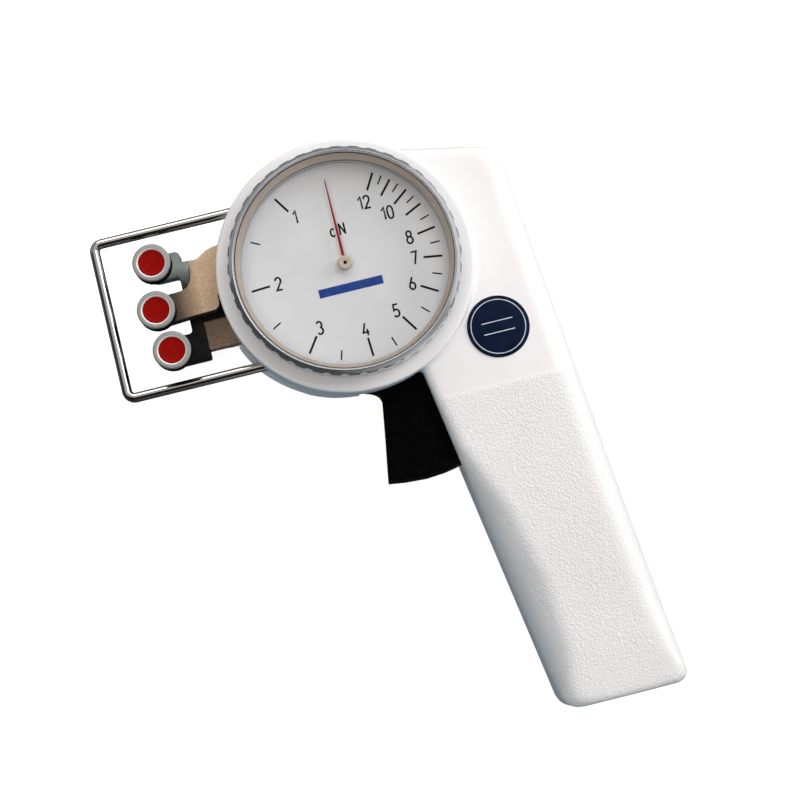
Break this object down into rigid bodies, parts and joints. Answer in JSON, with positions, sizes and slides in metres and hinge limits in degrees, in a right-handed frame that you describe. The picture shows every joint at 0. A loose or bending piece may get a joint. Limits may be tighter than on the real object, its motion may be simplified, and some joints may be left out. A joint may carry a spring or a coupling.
{
  "type": "yarn tension meter",
  "caption": "Hand-held mechanical yarn tension meter: pistol grip, round dial, trigger-drawn guide rollers either side of a measuring roller, wire guard round the head.",
  "frame": {"origin": "on the dial axis at the back plane that the meter lies on", "axes": "+Z out of the dial, +Y to the dial's twelve o'clock, +X from the roller head to the grip side; the grip points to -Y"},
  "size_m": [0.1688, 0.2151, 0.048],
  "materials": {
    "housing_white": "white stove-enamelled die casting, satin, grained on the grip",
    "steel": "turned bright steel",
    "guard_wire": "polished round wire",
    "bezel_silver": "satin turned aluminium",
    "warm_metal": "warm nickelled brass, satin",
    "roller_aluminium": "turned hard-anodised aluminium",
    "lever_tan": "sand-blasted, tan passivated",
    "yoke_dark": "dark grey anodised",
    "brass": "rolled brass, brushed",
    "plate_aluminium": "rolled sheet",
    "red_cap": "red moulded cap",
    "trigger_black": "black moulded, fine grain",
    "lens_clear": "clear flat lens",
    "dial_grey": "light grey matt lacquer",
    "pointer_red": "red lacquer",
    "disc_navy": "navy printed film",
    "magnet_grey": "cast magnet alloy",
    "spring_steel": "blued spring steel"
  },
  "bodies": {
    "housing": {"front_housing": "housing_white", "rear_cover": "housing_white", "housing_screws": "steel", "inspection_disc": "disc_navy", "wire_guard": "guard_wire", "hairspring": "brass", "hairspring_stud": "brass", "damping_magnet": "magnet_grey", "arbor_bushes": "brass", "chassis_plate": "plate_aluminium", "chassis_screws": "steel", "chassis_standoffs": "steel", "movement_rear_plate": "brass", "movement_front_plate": "brass", "movement_pillars": "steel", "pillar_screws": "steel", "lever_bearings": "steel", "measuring_spring": "spring_steel", "measuring_spring_stud": "steel", "bar_guides": "brass", "trigger_pivot_pin": "steel", "trigger_clip": "spring_steel", "trigger_return_spring": "spring_steel"},
    "bezel": {"bezel_ring": "bezel_silver", "bezel_snap_ring": "spring_steel", "lens": "lens_clear", "lens_retaining_ring": "warm_metal", "dial_plate": "dial_grey"},
    "trigger": {"trigger": "trigger_black", "trigger_drive_pin": "steel"},
    "carriage": {"guide_yoke": "yoke_dark", "carriage_bar": "lever_tan", "yoke_screws": "steel", "guide_roller_axles": "steel", "guide_roller_clips": "spring_steel"},
    "lever": {"measuring_lever": "lever_tan", "lever_arbor": "steel", "sector_gear": "brass", "lever_clamp_screw": "steel", "measuring_roller_axle": "steel", "measuring_roller_clip": "spring_steel"},
    "intermediate": {"intermediate_arbor": "steel", "intermediate_gear": "brass"},
    "pointer": {"pointer": "pointer_red", "pointer_hub": "warm_metal", "pointer_arbor": "steel", "damping_disc": "plate_aluminium"},
    "roller_top": {"roller_top": "roller_aluminium", "roller_top_cap": "red_cap", "roller_top_bearing": "steel"},
    "roller_middle": {"roller_middle": "roller_aluminium", "roller_middle_cap": "red_cap", "roller_middle_bearing": "steel"},
    "roller_bottom": {"roller_bottom": "roller_aluminium", "roller_bottom_cap": "red_cap", "roller_bottom_bearing": "steel"}
  },
  "joints": [
    {"name": "bezel_turn", "type": "hinge", "parent": "housing", "child": "bezel", "pos_m": [0, 0, 0.042], "axis": [0, 0, 1], "range_deg": [-20, 20]},
    {"name": "trigger_pull", "type": "hinge", "parent": "housing", "child": "trigger", "pos_m": [0.002, 0.03, 0.011], "axis": [0, 0, 1], "range_deg": [0, 11.2], "stiffness_Nm_per_rad": 3, "springref_deg": -9.74, "deforming": ["trigger_return_spring"]},
    {"name": "carriage_slide", "type": "slide", "parent": "housing", "child": "carriage", "axis": [1, 0, 0], "range_m": [0, 0.0081]},
    {"name": "lever_swing", "type": "hinge", "parent": "housing", "child": "lever", "pos_m": [-0.016, 0.024, 0.027], "axis": [0, 0, -1], "range_deg": [0, 2.8], "stiffness_Nm_per_rad": 0.1, "springref_deg": -0.57, "deforming": ["measuring_spring"]},
    {"name": "intermediate_turn", "type": "hinge", "parent": "housing", "child": "intermediate", "pos_m": [0.00813, 0.01606, 0.0315], "axis": [0, 0, -1], "range_deg": [0, 31]},
    {"name": "pointer_turn", "type": "hinge", "parent": "housing", "child": "pointer", "pos_m": [0, 0, 0.041], "axis": [0, 0, 1], "range_deg": [0, 333], "deforming": ["hairspring"]},
    {"name": "roller_top_spin", "type": "hinge", "parent": "carriage", "child": "roller_top", "pos_m": [-0.066, 0.0166, 0.036], "axis": [0, 0, 1], "continuous": true},
    {"name": "roller_middle_spin", "type": "hinge", "parent": "lever", "child": "roller_middle", "pos_m": [-0.0682, -0.0002, 0.036], "axis": [0, 0, 1], "continuous": true},
    {"name": "roller_bottom_spin", "type": "hinge", "parent": "carriage", "child": "roller_bottom", "pos_m": [-0.066, -0.0154, 0.036], "axis": [0, 0, 1], "continuous": true}
  ],
  "couplings": [
    {"joint": "carriage_slide", "follows": "trigger_pull", "m_per_rad": 0.040926},
    {"joint": "intermediate_turn", "follows": "lever_swing", "ratio": 10.769},
    {"joint": "pointer_turn", "follows": "lever_swing", "ratio": 118.46}
  ]
}
